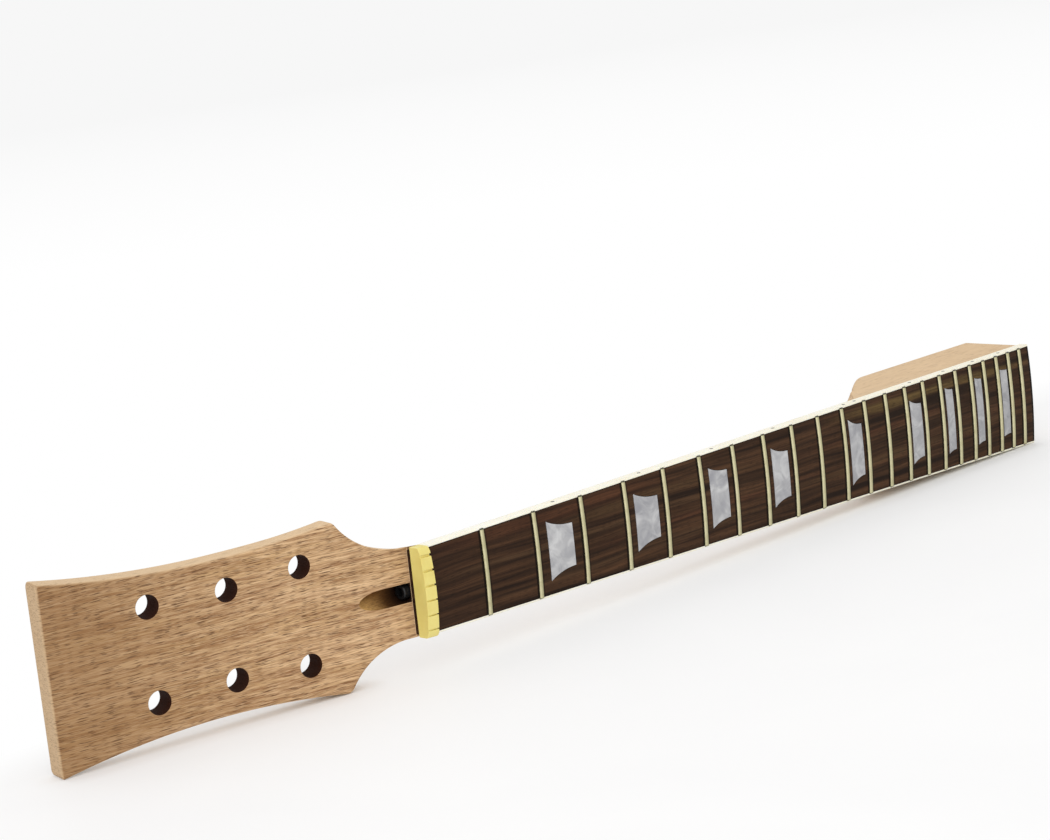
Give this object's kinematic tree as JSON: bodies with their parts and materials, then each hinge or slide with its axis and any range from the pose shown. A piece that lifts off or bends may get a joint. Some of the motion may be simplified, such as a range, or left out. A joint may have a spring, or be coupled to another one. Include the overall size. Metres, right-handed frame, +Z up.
{
  "type": "electric guitar neck",
  "caption": "Unfinished electric guitar neck with angled headstock, bound fingerboard, block inlays, frets, nut and adjustable truss rod, for a left-handed player.",
  "frame": {"origin": "on the table under the middle of the neck's bounding box", "axes": "+X along the neck from the headstock to the heel, -Y out of the fingerboard's face, +Z up from the treble edge that the neck lies on to the bass edge"},
  "size_m": [0.6424, 0.0582, 0.0851],
  "materials": {
    "mahogany": "raw sanded open-pored wood, no lacquer",
    "rosewood": "oiled dark brown wood with streaks",
    "cream_binding": "scraped and buffed cream plastic",
    "nut": "satin yellowish cream",
    "fret_wire": "polished nickel silver, warm",
    "pearl": "grey mother-of-pearl celluloid, cloudy",
    "black_dot": "satin black",
    "black_steel": "black oxide, satin",
    "steel": "plain turned steel"
  },
  "bodies": {
    "root": {"neck": "mahogany", "fingerboard": "rosewood", "binding_bass": "cream_binding", "binding_treble": "cream_binding", "nut": "nut", "fret_01": "fret_wire", "fret_02": "fret_wire", "fret_03": "fret_wire", "fret_04": "fret_wire", "fret_05": "fret_wire", "fret_06": "fret_wire", "fret_07": "fret_wire", "fret_08": "fret_wire", "fret_09": "fret_wire", "fret_10": "fret_wire", "fret_11": "fret_wire", "fret_12": "fret_wire", "fret_13": "fret_wire", "fret_14": "fret_wire", "fret_15": "fret_wire", "fret_16": "fret_wire", "fret_17": "fret_wire", "fret_18": "fret_wire", "fret_19": "fret_wire", "fret_20": "fret_wire", "fret_21": "fret_wire", "fret_22": "fret_wire", "inlay_3": "pearl", "inlay_5": "pearl", "inlay_7": "pearl", "inlay_9": "pearl", "inlay_12": "pearl", "inlay_15": "pearl", "inlay_17": "pearl", "inlay_19": "pearl", "inlay_21": "pearl", "side_dot_3": "black_dot", "side_dot_5": "black_dot", "side_dot_7": "black_dot", "side_dot_9": "black_dot", "side_dot_12_a": "black_dot", "side_dot_12_b": "black_dot", "side_dot_15": "black_dot", "side_dot_17": "black_dot", "side_dot_19": "black_dot", "side_dot_21": "black_dot", "truss_bar": "steel", "truss_block_head": "steel", "truss_block_heel": "steel"},
    "truss_rod_assembly": {"truss_rod_nut": "black_steel", "truss_rod": "steel"}
  },
  "joints": [
    {"name": "truss_rod_turn", "type": "hinge", "parent": "root", "child": "truss_rod_assembly", "pos_m": [-0.14045, -0.0128, 0.03809], "axis": [0.9998, 0, -0.0207], "range_deg": [-270, 270]}
  ]
}
